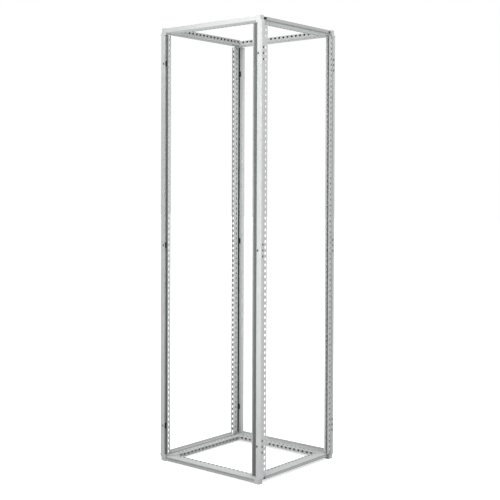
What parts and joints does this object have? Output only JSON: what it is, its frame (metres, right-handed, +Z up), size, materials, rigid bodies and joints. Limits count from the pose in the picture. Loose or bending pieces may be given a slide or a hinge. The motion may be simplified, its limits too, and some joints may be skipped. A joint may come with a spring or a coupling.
{
  "type": "open rack frame",
  "caption": "Tall open rectangular equipment-rack frame of four perforated roll-formed uprights joined by perforated top and bottom rails at cast corner blocks.",
  "frame": {"origin": "centre of the frame's footprint, on the floor plane through the undersides of the bottom castings", "axes": "+Z up; -Y is the front; +X is the right-hand side seen from the front"},
  "size_m": [0.6, 0.545, 2],
  "materials": {
    "painted_steel": "light grey fine-texture powder coat",
    "painted_casting": "light grey powder coat over a die casting",
    "nut": "dull yellow-brown zinc passivated steel",
    "clip": "black moulded nylon"
  },
  "bodies": {
    "root": {"upright_front_left": "painted_steel", "face_nuts_front_left": "nut", "side_nuts_front_left": "nut", "nut_clips_front_left": "clip", "upright_front_right": "painted_steel", "face_nuts_front_right": "nut", "side_nuts_front_right": "nut", "nut_clips_front_right": "clip", "upright_rear_left": "painted_steel", "face_nuts_rear_left": "nut", "side_nuts_rear_left": "nut", "nut_clips_rear_left": "clip", "upright_rear_right": "painted_steel", "face_nuts_rear_right": "nut", "side_nuts_rear_right": "nut", "nut_clips_rear_right": "clip", "casting_front_left_bottom": "painted_casting", "casting_front_left_top": "painted_casting", "casting_front_right_bottom": "painted_casting", "casting_front_right_top": "painted_casting", "casting_rear_left_bottom": "painted_casting", "casting_rear_left_top": "painted_casting", "casting_rear_right_bottom": "painted_casting", "casting_rear_right_top": "painted_casting", "bottom_rail_front": "painted_steel", "bottom_rail_rear": "painted_steel", "bottom_rail_left": "painted_steel", "bottom_rail_right": "painted_steel", "top_rail_front": "painted_steel", "top_rail_rear": "painted_steel", "top_rail_left": "painted_steel", "top_rail_right": "painted_steel", "edge_angle_rear": "painted_steel", "edge_angle_left": "painted_steel"}
  },
  "joints": []
}
